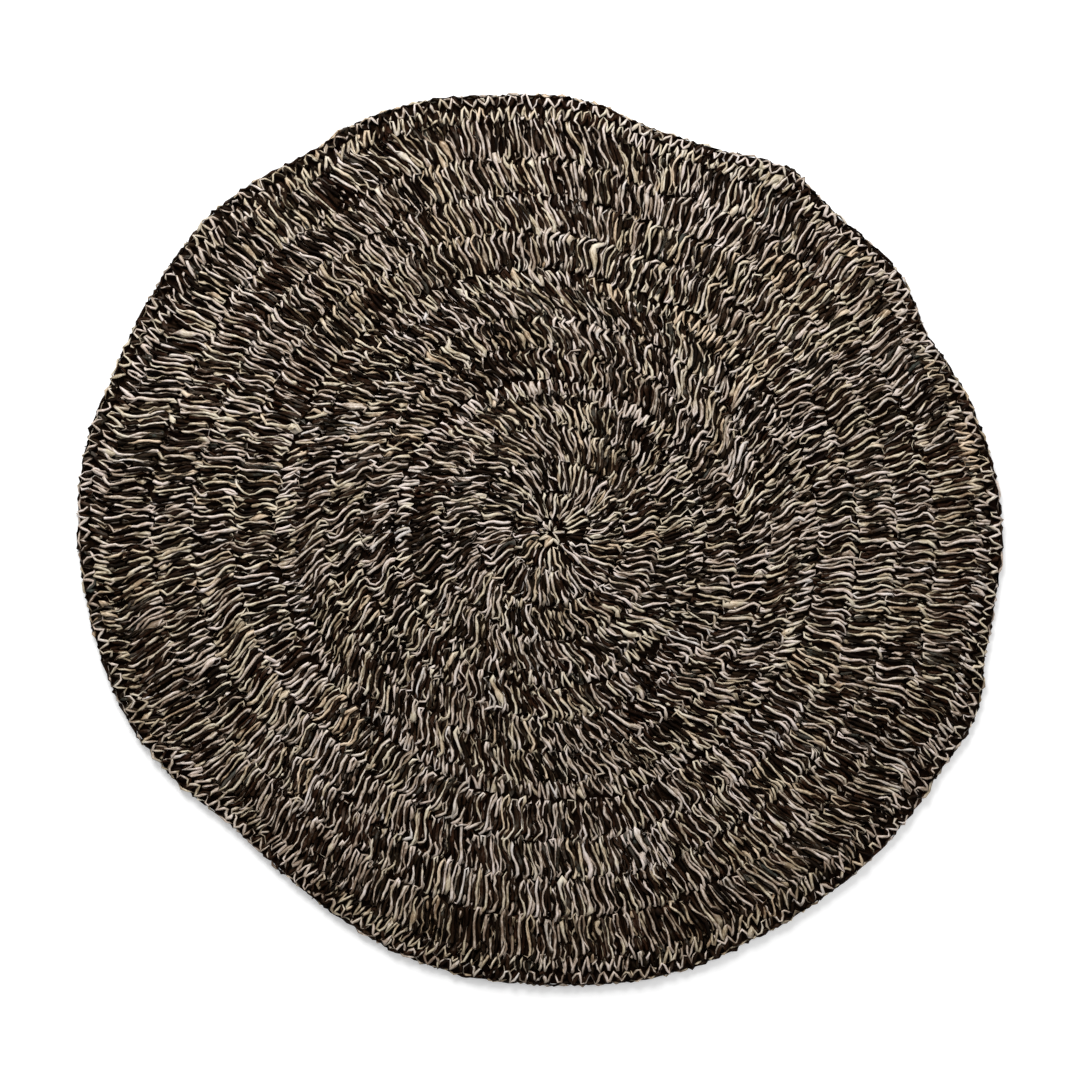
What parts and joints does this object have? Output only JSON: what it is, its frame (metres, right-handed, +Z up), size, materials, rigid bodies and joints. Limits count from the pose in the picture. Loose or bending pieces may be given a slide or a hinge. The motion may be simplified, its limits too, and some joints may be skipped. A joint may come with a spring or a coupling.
{
  "type": "round seagrass rug",
  "caption": "Round floor rug crocheted in rounds from twisted tan and black seagrass rope, lying flat, with the rounds as low ribs and an uneven hand-made outline.",
  "frame": {"origin": "middle of the first crocheted round, on the flat underside", "axes": "+Z up, out of the face that is seen; +Y is the top of the picture and +X its right"},
  "size_m": [1.0302, 0.9913, 0.0135],
  "materials": {
    "seagrass": "matt, slightly waxy natural rope, tan and black plies"
  },
  "bodies": {
    "root": {"rug": "seagrass"}
  },
  "joints": []
}
